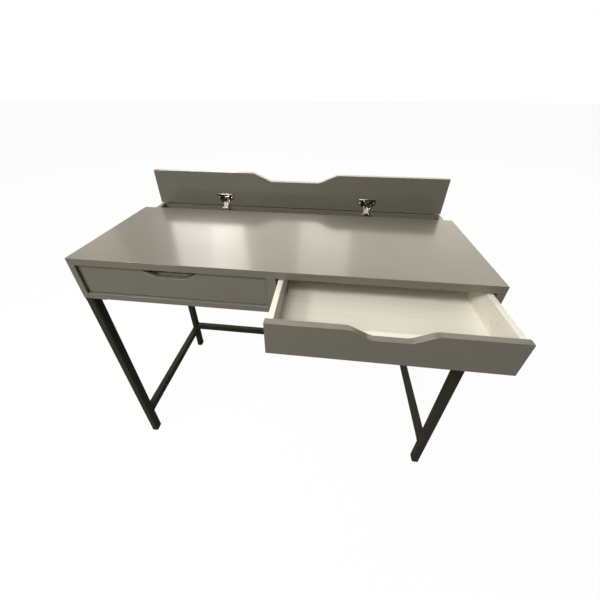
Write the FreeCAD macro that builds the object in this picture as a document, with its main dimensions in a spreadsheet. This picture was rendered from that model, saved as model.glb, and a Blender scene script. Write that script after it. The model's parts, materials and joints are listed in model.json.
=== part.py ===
"""Writing desk with two drawers and a lidded cable trough, as a parametric FreeCAD document.

Millimetres, +Z up, +X to the right of a person sitting at the desk, +Y away from them.
The origin is on the floor, in the middle of the whole desk as it stands: left drawer shut,
right drawer pulled out and the trough lid open.
"""
import FreeCAD, Part
import Sketcher
import math
import os
import re
from FreeCAD import Placement, Rotation, Vector

DIMENSIONS = {
    # the whole desk
    "desk_width": 1000,
    "desk_depth": 480,
    "desk_height": 760,
    "front_y": -169,             # the case's front face, seen from the origin
    "edge_round": 1,
    "edge_ease": 0.5,            # rounding of the boards between the visible outer ones
    # case panels
    "top_thickness": 19,
    "top_depth": 363,
    "case_height": 118,
    "side_thickness": 16,
    "bottom_thickness": 16,
    "divider_thickness": 22,
    "partition_thickness": 12,
    "back_thickness": 15,
    "back_top": 738,             # height of the back panel's top edge
    "side_rear_top": 738,        # height of the side panels beside the trough
    "side_step": 10,             # the blank piece taken off there
    # lid of the trough, standing open
    "lid_depth": 114,
    "lid_thickness": 19,
    "lid_face_y": 465.5,         # its inner face, behind the case's front
    "lid_foot": 741.5,           # height of its hinge edge
    "lid_notch_width": 295,
    "lid_notch_floor": 153,
    "lid_notch_depth": 26,
    "lid_notch_shoulder": 30,
    "lid_notch_foot": 30,
    # drawers
    "front_width": 470,
    "front_height": 80,
    "front_recess": 7,
    "front_gap": 1.5,
    "front_thickness": 15,
    "front_notch_width": 174,
    "front_notch_floor": 54,
    "front_notch_depth": 21.5,
    "front_notch_shoulder": 38,
    "front_notch_foot": 38,
    "left_pull": 0,
    "right_pull": 153.5,
    "box_gap": 5.5,
    "box_wall": 12,
    "box_length": 322,
    "box_bottom": 663,
    "box_top": 737,
    "inner_front_top": 717,
    "floor_top": 678,
    "floor_thickness": 3.5,
    "floor_groove": 5,
    # runners
    "rail_height": 10,
    "rail_middle": 699,
    "rail_bite": 6,              # how far a rail stands into the drawer side
    "rail_start": 24,
    "rail_end": 342,
    "rail_clearance": 0.3,
    "groove_depth": 6.4,
    "access_y": 110.5,           # hole in the drawer sides to reach a runner screw
    "access_radius": 3,
    "stop_radius": 6,
    "stop_length": 6.5,
    # legs
    "tube_width": 23,
    "tube_depth": 28,
    "tube_wall": 1.5,
    "tube_radius": 5,
    "tube_inner_radius": 3.5,
    "leg_front": 14,             # leg centres, behind the case's front
    "leg_rear": 465.5,
    "plate_inset": 2,
    "plate_size": 60,
    "plate_thickness": 3,
    "glide_height": 3,
    "glide_plug": 12,
    "glide_overlap": 1,          # how far the plug reaches down into the pad
    "glide_clearance": 0.2,
    "glide_round": 2,
    "side_rail_middle": 110,
    "crossbar_middle": 125,
    # concealed hinges
    "hinge_x": 250,
    "cup_radius": 17.5,
    "cup_depth": 11.5,
    "cup_wall": 1,
    "cup_rim": 1.5,
    "cup_offset": 21.5,          # cup centre above the lid's hinge edge
    "flange_width": 57,
    "flange_height": 19,
    "flange_top": 18,            # above the cup centre
    "cup_screw_x": 23,
    "cup_screw_rise": 4.5,
    "cup_pin_half": 9.8,
    "slot_half": 9.5,            # opening in the cup's wall for the link
    "slot_reach": 6,
    "slot_drop": 2,
    "slot_top": 752,
    "housing_half": 7,
    "housing_depth": 7,
    "housing_height": 9,
    "housing_foot": 757,
    "arm_pin_y": 453,
    "arm_pin_z": 735,
    "cup_pin_y": 467.1,
    "cup_pin_z": 749.6,
    "link_reach": 16.5,
    "link_thickness": 1.6,
    "link_width": 16,
    "link_angle": 46,
    "pin_radius": 1.5,
    "pin_clearance": 0.05,
    "cup_pin_radius": 1,
    "arm_width": 20,
    "arm_wall": 1.7,
    "arm_depth": 15,
    "arm_foot": 680,
    "arm_top": 738,
    "arm_web_top": 730,
    "mount_thickness": 4,
    "mount_foot": 684,
    "mount_height": 40,
    "mount_screw_inset": 7,
    "bumper_radius": 4,
    "bumper_height": 2.9,
    "bumper_y": 380,
    # fasteners
    "dowel_radius": 4,
    "slim_dowel_radius": 3,
    "dowel_bite": 10,            # how far a dowel stands into the thinner of two boards
    "flat_dowel_reach": 25,      # and into the other one, lying
    "upright_dowel_reach": 22,   # or standing
    "cam_bolt_radius": 3,
    "cam_bolt_bite": 8,
    "cam_nut_radius": 7.5,
    "cam_nut_depth": 12,
    "cam_reach": 33,
    "screw_radius": 2,
    "screw_head_radius": 4,
    "screw_head": 2,
    "plate_screw_edge": 10,      # leg plate screws, from the plate's sides
    "plate_screw_inner": 32,
    "plate_screw_row": 12,
    "plate_screw_back": 20,
    "plate_screw_length": 15,
    "front_screw_bite": 10,
    "runner_screw_length": 12,
    "cup_screw_length": 11,
    "mount_screw_length": 15,
}

doc = FreeCAD.newDocument("writing_desk")
sheet = doc.addObject("Spreadsheet::Sheet", "dims")
for row, (alias, number) in enumerate(DIMENSIONS.items(), start=1):
    sheet.set(f"A{row}", alias)
    sheet.set(f"B{row}", str(number))
    sheet.setAlias(f"B{row}", alias)
doc.recompute()

nodes = []


# ---------------------------------------------------------------- helpers

def formula(text):
    """An expression on the sheet, written with bare aliases."""
    return re.sub(r"[a-z][a-z_]+", lambda word: "dims." + word.group(0), str(text))


def size_of(alias):
    return float(sheet.get(alias))


def put(obj, corner):
    """Bind the object's place to three expressions."""
    for axis, text in zip("xyz", corner):
        obj.setExpression("Placement.Base." + axis, formula(text))


def block(name, size, corner):
    """A box: its sizes along X, Y and Z and its low corner are expressions."""
    box = doc.addObject("Part::Box", name)
    for prop, text in zip(("Length", "Width", "Height"), size):
        box.setExpression(prop, formula(text))
    put(box, corner)
    return box


TURNS = {"x": Rotation(Vector(0, 1, 0), 90), "y": Rotation(Vector(1, 0, 0), -90), "z": Rotation()}


def rod(name, radius, length, start, axis):
    """A cylinder that runs from start along the positive axis."""
    cylinder = doc.addObject("Part::Cylinder", name)
    cylinder.Placement = Placement(Vector(), TURNS[axis])
    cylinder.setExpression("Radius", formula(radius))
    cylinder.setExpression("Height", formula(length))
    put(cylinder, start)
    return cylinder


def group(name, members):
    compound = doc.addObject("Part::Compound", name)
    compound.Links = members
    return compound


def fuse(name, members):
    union = doc.addObject("Part::MultiFuse", name)
    union.Shapes = members
    return union


def cut(name, base, tools):
    """base with every tool taken out of it."""
    result = doc.addObject("Part::Cut", name)
    result.Base = base
    result.Tool = tools[0] if len(tools) == 1 else group(name + "_tools", tools)
    return result


def along(edge, axis):
    """True for a straight edge that runs along axis 0, 1 or 2."""
    start, end = edge.Vertexes[0].Point, edge.Vertexes[-1].Point
    run = end - start
    return abs(run[axis]) > 0.99 * run.Length > 0


def rounded(name, base, alias, wanted=None):
    """base with its wanted edges (all, if not given) rounded to the sheet's radius."""
    doc.recompute()
    radius = size_of(alias)
    fillet = doc.addObject("Part::Fillet", name)
    fillet.Base = base
    picked = [number for number, edge in enumerate(base.Shape.Edges, start=1)
              if wanted is None or wanted(edge)]
    fillet.Edges = [(number, radius, radius) for number in picked]
    return fillet


def panel(name, size, corner, alias="edge_round"):
    """A board with slightly rounded edges."""
    return rounded(name + "_edged", block(name + "_board", size, corner), alias)


def node(obj, label):
    """Keep obj as the finished sub-part of that name."""
    obj.Label = label
    nodes.append(obj)
    return obj


def mirrored(sign, text):
    return f"{sign} * ({text})"


SIDES = (("left", -1), ("right", 1))
HANDS = ("left", "right")


# ---------------------------------------------------------------- notched panels

def notch_sketch(body, name, sizes):
    """Front view of a board whose top edge dips in a notch with slanting sides.

    sizes holds aliases for width, height, notch, floor, depth, shoulder and foot.
    Each side of the notch is a shoulder arc, a straight flank and a foot arc, all tangent.
    """
    sketch = body.newObject("Sketcher::SketchObject", name)
    plane = next(f for f in body.Origin.OriginFeatures if f.Role == "XZ_Plane")
    sketch.AttachmentSupport = [(plane, "")]
    sketch.MapMode = "FlatFace"
    numbers = {key: size_of(alias) for key, alias in sizes.items()}
    half, high = numbers["width"] / 2, numbers["height"]
    mouth, floor = numbers["notch"] / 2, numbers["floor"] / 2
    depth, shoulder, foot = numbers["depth"], numbers["shoulder"], numbers["foot"]
    run = mouth - floor
    rise = depth - shoulder - foot
    lean = math.atan2(rise, run) + math.asin((shoulder + foot) / math.hypot(run, rise))
    low = high - depth
    flank_top = (mouth - shoulder * math.sin(lean), high - shoulder * (1 - math.cos(lean)))
    flank_foot = (floor + foot * math.sin(lean), low + foot * (1 - math.cos(lean)))

    def line(x1, z1, x2, z2):
        return sketch.addGeometry(Part.LineSegment(Vector(x1, z1, 0), Vector(x2, z2, 0)), False)

    def arc(x, z, radius, start, end):
        circle = Part.Circle(Vector(x, z, 0), Vector(0, 0, 1), radius)
        return sketch.addGeometry(Part.ArcOfCircle(circle, start, end), False)

    up, down = math.pi / 2, -math.pi / 2
    bottom = line(-half, 0, half, 0)
    right = line(half, 0, half, high)
    top_right = line(half, high, mouth, high)
    shoulder_right = arc(mouth, high - shoulder, shoulder, up, up + lean)
    flank_right = line(*flank_top, *flank_foot)
    foot_right = arc(floor, low + foot, foot, down, down + lean)
    floor_line = line(floor, low, -floor, low)
    foot_left = arc(-floor, low + foot, foot, down - lean, down)
    flank_left = line(-flank_foot[0], flank_foot[1], -flank_top[0], flank_top[1])
    shoulder_left = arc(-mouth, high - shoulder, shoulder, up - lean, up)
    top_left = line(-mouth, high, -half, high)
    left = line(-half, high, -half, 0)
    constrain_notch(sketch, sizes, numbers, dict(
        bottom=bottom, right=right, top_right=top_right, shoulder_right=shoulder_right,
        flank_right=flank_right, foot_right=foot_right, floor=floor_line, foot_left=foot_left,
        flank_left=flank_left, shoulder_left=shoulder_left, top_left=top_left, left=left))
    return sketch


def constrain_notch(sketch, sizes, numbers, parts):
    """Join the outline's pieces and bind its sizes to the sheet."""
    start, end = 1, 2

    def add(*arguments):
        return sketch.addConstraint(Sketcher.Constraint(*arguments))

    origin = (-1, 1)
    add("Coincident", parts["bottom"], end, parts["right"], start)
    add("Coincident", parts["right"], end, parts["top_right"], start)
    add("Tangent", parts["top_right"], end, parts["shoulder_right"], start)
    add("Tangent", parts["shoulder_right"], end, parts["flank_right"], start)
    add("Tangent", parts["flank_right"], end, parts["foot_right"], end)
    add("Tangent", parts["foot_right"], start, parts["floor"], start)
    add("Tangent", parts["floor"], end, parts["foot_left"], end)
    add("Tangent", parts["foot_left"], start, parts["flank_left"], start)
    add("Tangent", parts["flank_left"], end, parts["shoulder_left"], start)
    add("Tangent", parts["shoulder_left"], end, parts["top_left"], start)
    add("Coincident", parts["top_left"], end, parts["left"], start)
    add("Coincident", parts["left"], end, parts["bottom"], start)
    add("Vertical", parts["right"])
    add("Vertical", parts["left"])
    add("Horizontal", parts["top_right"])
    add("Horizontal", parts["bottom"])
    add("Symmetric", parts["bottom"], start, parts["bottom"], end, *origin)
    add("Symmetric", parts["floor"], start, parts["floor"], end, -2)
    add("Equal", parts["shoulder_left"], parts["shoulder_right"])
    add("Equal", parts["foot_left"], parts["foot_right"])
    add("Symmetric", parts["top_right"], end, parts["top_left"], start, -2)
    named = (
        ("width", add("DistanceX", parts["bottom"], start, parts["bottom"], end, numbers["width"])),
        ("height", add("DistanceY", parts["right"], start, parts["right"], end, numbers["height"])),
        ("notch", add("DistanceX", parts["top_left"], start, parts["top_right"], end, numbers["notch"])),
        ("floor", add("DistanceX", parts["floor"], end, parts["floor"], start, numbers["floor"])),
        ("depth", add("DistanceY", parts["floor"], start, parts["top_right"], end, numbers["depth"])),
        ("shoulder", add("Radius", parts["shoulder_right"], numbers["shoulder"])),
        ("foot", add("Radius", parts["foot_right"], numbers["foot"])),
    )
    for key, number in named:
        sketch.renameConstraint(number, key)
        sketch.setExpression("Constraints." + key, formula(sizes[key]))


def notched_panel(name, sizes, thickness, place):
    """The board itself with all its edges rounded, its front face's lower middle at place."""
    body = doc.addObject("PartDesign::Body", name)
    sketch = notch_sketch(body, name + "_outline", sizes)
    pad = body.newObject("PartDesign::Pad", name + "_pad")
    pad.Profile = sketch
    pad.Reversed = True
    pad.setExpression("Length", formula(thickness))
    doc.recompute()
    fillet = body.newObject("PartDesign::Fillet", name + "_edges")
    fillet.Base = (pad, [""])
    fillet.UseAllEdges = True
    fillet.setExpression("Radius", formula("edge_round"))
    body.Tip = fillet
    put(body, place)
    return body


# ---------------------------------------------------------------- fasteners

def screw(name, seat, axis, sign, length):
    """A round-head screw: seat is under its head, the shank points along sign on the axis."""
    index = "xyz".index(axis)
    shank_start = list(seat)
    head_start = list(seat)
    if sign > 0:
        head_start[index] = f"{seat[index]} - screw_head"
    else:
        shank_start[index] = f"{seat[index]} - {length}"
    shank = rod(name + "_shank", "screw_radius", length, shank_start, axis)
    head = rod(name + "_head", "screw_head_radius", "screw_head", head_start, axis)
    return fuse(name, [shank, head])


CASE_FLOOR = "desk_height - case_height"
CASE_INNER_FLOOR = "desk_height - case_height + bottom_thickness"
TOP_UNDERSIDE = "desk_height - top_thickness"
INNER_X = "(desk_width / 2 - side_thickness)"
SIDE_MIDDLE = "(desk_width / 2 - side_thickness / 2)"
PARTITION_Y = "(front_y + top_depth - partition_thickness)"
BACK_Y = "(front_y + desk_depth - back_thickness)"

# where the fasteners of the case sit: Y from its front, X and Z from the origin
FLOOR_DOWEL_Y = (80, 240, 400)
BACK_DOWEL_Z = (670, 715)
TOP_DOWEL_Y = (70, 180, 290)
DIVIDER_DOWEL_Y = (60, 290)
PARTITION_DOWEL_X = (-360, -120, 120, 360)
FLOOR_BOLT_Y = (120, 360)
TOP_BOLT_Y = (40, 330)


def case_dowels():
    """Wooden dowels that line up the case's joints."""
    lying = "dowel_bite + flat_dowel_reach"
    standing = "dowel_bite + upright_dowel_reach"
    high_z = f"{TOP_UNDERSIDE} - upright_dowel_reach"
    rods = []
    for side, sign in SIDES:
        low_end = f"{INNER_X} - flat_dowel_reach" if sign > 0 else f"-{INNER_X} - dowel_bite"
        for index, y in enumerate(FLOOR_DOWEL_Y):
            place = (low_end, f"front_y + {y}", f"{CASE_FLOOR} + bottom_thickness / 2")
            rods.append(rod(f"dowel_floor_{side}_{index}", "dowel_radius", lying, place, "x"))
        for index, z in enumerate(BACK_DOWEL_Z):
            place = (low_end, "front_y + desk_depth - back_thickness / 2", z)
            rods.append(rod(f"dowel_back_{side}_{index}", "slim_dowel_radius", lying, place, "x"))
        for index, y in enumerate(TOP_DOWEL_Y):
            place = (mirrored(sign, SIDE_MIDDLE), f"front_y + {y}", high_z)
            rods.append(rod(f"dowel_top_{side}_{index}", "slim_dowel_radius", standing, place, "z"))
    for end, z in (("low", f"{CASE_INNER_FLOOR} - dowel_bite"), ("high", high_z)):
        for index, y in enumerate(DIVIDER_DOWEL_Y):
            rods.append(rod(f"dowel_divider_{end}_{index}", "dowel_radius", standing,
                            ("0", f"front_y + {y}", z), "z"))
        for index, x in enumerate(PARTITION_DOWEL_X):
            rods.append(rod(f"dowel_partition_{end}_{index}", "slim_dowel_radius", standing,
                            (x, f"{PARTITION_Y} + partition_thickness / 2", z), "z"))
    return node(group("case_dowels", rods), "case_dowels")


def cam_bolts():
    """Steel bolts that pull the case's joints together."""
    length = "cam_reach + cam_bolt_bite"
    rods = []
    for side, sign in SIDES:
        low_end = f"{INNER_X} - cam_reach" if sign > 0 else f"-{INNER_X} - cam_bolt_bite"
        for index, y in enumerate(FLOOR_BOLT_Y):
            place = (low_end, f"front_y + {y}", f"{CASE_FLOOR} + bottom_thickness / 2")
            rods.append(rod(f"bolt_floor_{side}_{index}", "cam_bolt_radius", length, place, "x"))
        for index, y in enumerate(TOP_BOLT_Y):
            place = (mirrored(sign, SIDE_MIDDLE), f"front_y + {y}", f"{TOP_UNDERSIDE} - cam_reach")
            rods.append(rod(f"bolt_top_{side}_{index}", "cam_bolt_radius", length, place, "z"))
    return node(group("cam_bolts", rods), "cam_bolts")


def cam_holes():
    """Round pockets for the cam nuts, in the bottom panel's underside and the sides' inner faces."""
    rods = []
    for side, sign in SIDES:
        for index, y in enumerate(FLOOR_BOLT_Y):
            place = (mirrored(sign, f"{INNER_X} - cam_reach"), f"front_y + {y}", CASE_FLOOR)
            rods.append(rod(f"cam_floor_{side}_{index}", "cam_nut_radius", "cam_nut_depth",
                            place, "z"))
        low_end = INNER_X if sign > 0 else f"-{INNER_X} - cam_nut_depth"
        for index, y in enumerate(TOP_BOLT_Y):
            place = (low_end, f"front_y + {y}", f"{TOP_UNDERSIDE} - cam_reach")
            rods.append(rod(f"cam_top_{side}_{index}", "cam_nut_radius", "cam_nut_depth",
                            place, "x"))
    return group("cam_holes", rods)


def cam_nuts(holes, bolts):
    """The nuts fill their pockets, apart from the bolt that ends in each."""
    return node(cut("cam_nuts", holes, [bolts]), "cam_nuts")


# ---------------------------------------------------------------- case

def build_case(dowels, bolts, cams, leg_fixings, runner_fixings, hinge_fixings):
    """The fixed panels, each with its holes."""
    inner_width = "desk_width - 2 * side_thickness"
    top = panel("top", ("desk_width", "top_depth", "top_thickness"),
                ("-desk_width / 2", "front_y", TOP_UNDERSIDE))
    node(cut("top_panel", top, [dowels, bolts]), "top_panel")
    for side, sign in SIDES:
        low_x = INNER_X if sign > 0 else "-desk_width / 2"
        board = block(f"side_{side}_board", ("side_thickness", "desk_depth",
                                             f"{TOP_UNDERSIDE} - ({CASE_FLOOR})"),
                      (low_x, "front_y", CASE_FLOOR))
        step = block(f"side_{side}_step", ("side_thickness", "desk_depth - top_depth", "side_step"),
                     (low_x, "front_y + top_depth", "side_rear_top"))
        stepped = cut(f"side_{side}_stepped", board, [step])
        doc.recompute()
        shoulder = size_of("front_y") + size_of("top_depth")
        edged = rounded(f"side_{side}_edged", stepped, "edge_round",
                        lambda edge: abs(edge.CenterOfMass.y - shoulder) > 0.01)
        node(cut(f"side_panel_{side}", edged, [dowels, bolts, cams, runner_fixings]),
             f"side_panel_{side}")
    bottom = panel("bottom", (inner_width, "desk_depth - back_thickness", "bottom_thickness"),
                   (f"-{INNER_X}", "front_y", CASE_FLOOR), "edge_ease")
    node(cut("bottom_panel", bottom, [dowels, bolts, cams, leg_fixings]), "bottom_panel")
    divider = panel("divider", ("divider_thickness", "top_depth - partition_thickness",
                                f"{TOP_UNDERSIDE} - ({CASE_INNER_FLOOR})"),
                    ("-divider_thickness / 2", "front_y", CASE_INNER_FLOOR), "edge_ease")
    node(cut("center_divider", divider, [dowels, runner_fixings]), "center_divider")
    partition = block("partition_board", (inner_width, "partition_thickness",
                                          f"{TOP_UNDERSIDE} - ({CASE_INNER_FLOOR})"),
                      (f"-{INNER_X}", PARTITION_Y, CASE_INNER_FLOOR))
    node(cut("trough_partition", partition, [dowels]), "trough_partition")
    back = panel("back", (inner_width, "back_thickness", f"back_top - ({CASE_FLOOR})"),
                 (f"-{INNER_X}", BACK_Y, CASE_FLOOR), "edge_ease")
    node(cut("back_panel", back, [dowels, hinge_fixings]), "back_panel")


# ---------------------------------------------------------------- legs

def tube(name, length, corner, axis):
    """A hollow rounded-rectangle tube whose outer low corner is at corner.

    Its narrow side lies along X, or along Y when the tube itself runs along X.
    """
    index = "xyz".index(axis)
    wide = {"x": 2, "y": 2, "z": 1}[axis]
    outer_size, inner_size, inner_corner = [], [], []
    for place in range(3):
        if place == index:
            outer_size.append(length)
            inner_size.append(length)
            inner_corner.append(corner[place])
        else:
            across = "tube_depth" if place == wide else "tube_width"
            outer_size.append(across)
            inner_size.append(f"{across} - 2 * tube_wall")
            inner_corner.append(f"{corner[place]} + tube_wall")
    outer = rounded(name + "_outer", block(name + "_bar", outer_size, corner), "tube_radius",
                    lambda edge: along(edge, index))
    inner = rounded(name + "_inner", block(name + "_core", inner_size, inner_corner),
                    "tube_inner_radius", lambda edge: along(edge, index))
    return node(cut(name, outer, [inner]), name)


LEG_ENDS = (("front", "leg_front"), ("rear", "leg_rear"))
LEG_TOP = "desk_height - case_height - plate_thickness"


def build_legs():
    """Four legs, the low rail between each side's pair and the crossbar between the rear ones."""
    for side, sign in SIDES:
        low_x = "desk_width / 2 - tube_width" if sign > 0 else "-desk_width / 2"
        for end, centre in LEG_ENDS:
            tube(f"leg_{end}_{side}", f"{LEG_TOP} - glide_height",
                 (low_x, f"front_y + {centre} - tube_depth / 2", "glide_height"), "z")
        tube(f"side_rail_{side}", "leg_rear - leg_front - tube_depth",
             (low_x, "front_y + leg_front + tube_depth / 2", "side_rail_middle - tube_depth / 2"),
             "y")
    tube("rear_crossbar", "desk_width - 2 * tube_width",
         ("tube_width - desk_width / 2", "front_y + leg_rear - tube_width / 2",
          "crossbar_middle - tube_depth / 2"), "x")


def leg_plate_corner(sign, end):
    """Low corner of the square plate on top of a leg."""
    low_x = ("desk_width / 2 - plate_inset - plate_size" if sign > 0
             else "plate_inset - desk_width / 2")
    low_y = ("front_y + plate_inset" if end == "front"
             else "front_y + desk_depth - plate_inset - plate_size")
    return low_x, low_y


def leg_screws():
    """Three screws through each leg plate into the bottom panel."""
    screws = []
    for side, sign in SIDES:
        for end, _ in LEG_ENDS:
            low_x, low_y = leg_plate_corner(sign, end)
            if sign > 0:
                near_x, far_x = f"{low_x} + plate_screw_edge", f"{low_x} + plate_screw_inner"
            else:
                near_x = f"{low_x} + plate_size - plate_screw_edge"
                far_x = f"{low_x} + plate_size - plate_screw_inner"
            if end == "front":
                near_y = f"{low_y} + plate_size - plate_screw_row"
                far_y = f"{low_y} + plate_screw_back"
            else:
                near_y = f"{low_y} + plate_screw_row"
                far_y = f"{low_y} + plate_size - plate_screw_back"
            for index, (x, y) in enumerate(((near_x, near_y), (far_x, near_y), (near_x, far_y))):
                screws.append(screw(f"leg_screw_{end}_{side}_{index}", (x, y, LEG_TOP), "z", 1,
                                    "plate_screw_length"))
    return node(group("leg_screws", screws), "leg_screws")


def leg_plates(screws):
    """The plates that the legs are welded to."""
    plates = []
    for side, sign in SIDES:
        for end, _ in LEG_ENDS:
            low_x, low_y = leg_plate_corner(sign, end)
            board = block(f"plate_{end}_{side}_board", ("plate_size", "plate_size",
                                                       "plate_thickness"), (low_x, low_y, LEG_TOP))
            plates.append(rounded(f"plate_{end}_{side}", board, "tube_radius",
                                  lambda edge: along(edge, 2)))
    return node(cut("leg_plates", group("plate_blanks", plates), [screws]), "leg_plates")


def foot_glides():
    """Plastic feet: a round-edged pad under each leg with a plug up inside the tube."""
    feet = []
    for side, sign in SIDES:
        low_x = "desk_width / 2 - tube_width" if sign > 0 else "-desk_width / 2"
        for end, centre in LEG_ENDS:
            name = f"glide_{end}_{side}"
            low_y = f"front_y + {centre} - tube_depth / 2"
            pad = block(name + "_pad", ("tube_width", "tube_depth", "glide_height"),
                        (low_x, low_y, "0"))
            shaped = rounded(name + "_outline", pad, "tube_radius", lambda edge: along(edge, 2))
            eased = rounded(name + "_eased", shaped, "glide_round",
                            lambda edge: edge.BoundBox.ZMax < 0.01)
            gap = "tube_wall + glide_clearance"
            plug = block(name + "_plug", (f"tube_width - 2 * ({gap})", f"tube_depth - 2 * ({gap})",
                                          "glide_plug + glide_overlap"),
                         (f"{low_x} + {gap}", f"{low_y} + {gap}", "glide_height - glide_overlap"))
            round_plug = rounded(name + "_core", plug, "tube_inner_radius",
                                 lambda edge: along(edge, 2))
            feet.append(fuse(name, [eased, round_plug]))
    return node(group("foot_glides", feet), "foot_glides")


# ---------------------------------------------------------------- drawers

BOX_FRONT = "(front_y + front_recess + front_thickness)"
FRONT_SCREWS = ((-170, 690), (-110, 705), (110, 705), (170, 690))  # X from the middle, and Z
RUNNER_SCREW_Y = ("60", "access_y + 25", "300")
STOP_X = (-400, -95, 95, 400)


def compartment_low_x(side):
    return "divider_thickness / 2" if side == "right" else f"-{INNER_X}"


def build_drawer(side):
    """One drawer: grey front, inner front, two sides, back and floor."""
    low_x = compartment_low_x(side)
    pull = side + "_pull"
    width = f"({INNER_X} - divider_thickness / 2)"
    box_low = f"({low_x} + box_gap)"
    box_width = f"({width} - 2 * box_gap)"
    inner_width = f"({box_width} - 2 * box_wall)"
    box_y = f"({BOX_FRONT} - {pull})"
    middle = f"{low_x} + {width} / 2"
    name = side + "_drawer"

    floor = block(f"{name}_floor", (f"{inner_width} + 2 * floor_groove",
                                    "box_length - 2 * box_wall + 2 * floor_groove",
                                    "floor_thickness"),
                  (f"{box_low} + box_wall - floor_groove", f"{box_y} + box_wall - floor_groove",
                   "floor_top - floor_thickness"))
    node(floor, f"{name}_floor")

    screws = []
    for index, (x, z) in enumerate(FRONT_SCREWS):
        screws.append(screw(f"{name}_screw_{index}", (f"{middle} + {x}", f"{box_y} + box_wall", z),
                            "y", -1, "(box_wall + front_screw_bite)"))
    fixings = node(group(f"{name}_front_screws", screws), f"{name}_front_screws")

    front = notched_panel(f"{name}_face", {
        "width": "front_width", "height": "front_height", "notch": "front_notch_width",
        "floor": "front_notch_floor", "depth": "front_notch_depth",
        "shoulder": "front_notch_shoulder", "foot": "front_notch_foot",
    }, "front_thickness", (middle, f"front_y + front_recess - {pull}",
                           f"{CASE_INNER_FLOOR} + front_gap"))
    node(cut(f"{name}_front", front, [fixings]), f"{name}_front")

    inner = block(f"{name}_inner_board", (inner_width, "box_wall", "inner_front_top - box_bottom"),
                  (f"{box_low} + box_wall", box_y, "box_bottom"))
    node(cut(f"{name}_inner_front", inner, [floor, fixings]), f"{name}_inner_front")

    back = block(f"{name}_back_board", (inner_width, "box_wall", "box_top - box_bottom"),
                 (f"{box_low} + box_wall", f"{box_y} + box_length - box_wall", "box_bottom"))
    node(cut(f"{name}_back", back, [floor]), f"{name}_back")

    for hand in HANDS:
        wall_x = box_low if hand == "left" else f"{box_low} + {box_width} - box_wall"
        board = block(f"{name}_{hand}_board", ("box_wall", "box_length", "box_top - box_bottom"),
                      (wall_x, box_y, "box_bottom"))
        edged = rounded(f"{name}_{hand}_edged", board, "edge_round",
                        lambda edge: edge.BoundBox.ZMin > size_of("box_top") - 0.01)
        groove_x = wall_x if hand == "left" else f"{wall_x} + box_wall - groove_depth"
        groove = block(f"{name}_{hand}_groove", ("groove_depth", "box_length",
                                                 "rail_height + 2 * rail_clearance"),
                       (groove_x, box_y, "rail_middle - rail_height / 2 - rail_clearance"))
        access = rod(f"{name}_{hand}_access", "access_radius", "box_wall",
                     (wall_x, f"front_y + access_y - {pull}", "rail_middle"), "x")
        node(cut(f"{name}_side_{hand}", edged, [floor, groove, access]), f"{name}_side_{hand}")


def rail_face(side, hand):
    """Where a runner rail is fixed: X of the panel's face and the direction into that panel."""
    low_x = compartment_low_x(side)
    if hand == "left":
        return f"({low_x})", -1
    return f"({low_x} + {INNER_X} - divider_thickness / 2)", 1


def runner_screws():
    """Three screws through every runner rail."""
    screws = []
    for side, _ in SIDES:
        for hand in HANDS:
            face, into = rail_face(side, hand)
            seat = f"{face} + box_gap" if into < 0 else f"{face} - box_gap"
            for index, y in enumerate(RUNNER_SCREW_Y):
                screws.append(screw(f"runner_screw_{side}_{hand}_{index}",
                                    (seat, f"front_y + {y}", "rail_middle"), "x", into,
                                    "runner_screw_length"))
    return node(group("runner_screws", screws), "runner_screws")


def runner_rails(screws):
    """Plastic rails on the case that the drawers' grooved sides slide along."""
    for side, _ in SIDES:
        for hand in HANDS:
            face, into = rail_face(side, hand)
            low_x = face if into < 0 else f"{face} - box_gap - rail_bite"
            name = f"{side}_runner_{hand}"
            bar = block(name + "_bar", ("box_gap + rail_bite", "rail_end - rail_start",
                                        "rail_height"),
                        (low_x, "front_y + rail_start", "rail_middle - rail_height / 2"))
            sinks = []
            sink_x = f"{face} + box_gap" if into < 0 else f"{face} - box_gap - rail_bite"
            for index, y in enumerate(RUNNER_SCREW_Y):
                sinks.append(rod(f"{name}_sink_{index}", "screw_head_radius", "rail_bite",
                                 (sink_x, f"front_y + {y}", "rail_middle"), "x"))
            node(cut(name, bar, sinks + [screws]), name)


def drawer_stops():
    """Rubber buttons on the trough partition that the shut drawers rest against."""
    buttons = []
    for x in STOP_X:
        place = (x, f"{PARTITION_Y} - stop_length", "rail_middle")
        buttons.append(rod(f"stop_{'left' if x < 0 else 'right'}_{abs(x)}", "stop_radius",
                           "stop_length", place, "y"))
    return node(group("drawer_stops", buttons), "drawer_stops")


# ---------------------------------------------------------------- lid and hinges

LID_FACE = "(front_y + lid_face_y)"
CUP_Z = "(lid_foot + cup_offset)"


def build_lid(pockets, fixings):
    """The lid as it stands open, its notched edge uppermost."""
    board = notched_panel("lid_board", {
        "width": "desk_width", "height": "lid_depth", "notch": "lid_notch_width",
        "floor": "lid_notch_floor", "depth": "lid_notch_depth", "shoulder": "lid_notch_shoulder",
        "foot": "lid_notch_foot",
    }, "lid_thickness", ("0", LID_FACE, "lid_foot"))
    node(cut("trough_lid", board, [pockets, fixings]), "trough_lid")


def cup_pockets():
    """Round pockets in the lid for the hinge cups."""
    return group("cup_pockets", [
        rod(f"cup_pocket_{side}", "cup_radius", "cup_depth",
            (mirrored(sign, "hinge_x"), LID_FACE, CUP_Z), "y") for side, sign in SIDES])


def cup_screws():
    """Two screws hold each cup's flange to the lid."""
    screws = []
    for side, sign in SIDES:
        for hand, step in (("left", "- cup_screw_x"), ("right", "+ cup_screw_x")):
            screws.append(screw(f"cup_screw_{side}_{hand}",
                                (mirrored(sign, "hinge_x") + f" {step}",
                                 f"{LID_FACE} - cup_wall", f"{CUP_Z} + cup_screw_rise"),
                                "y", 1, "cup_screw_length"))
    return node(group("hinge_cup_screws", screws), "hinge_cup_screws")


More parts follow.
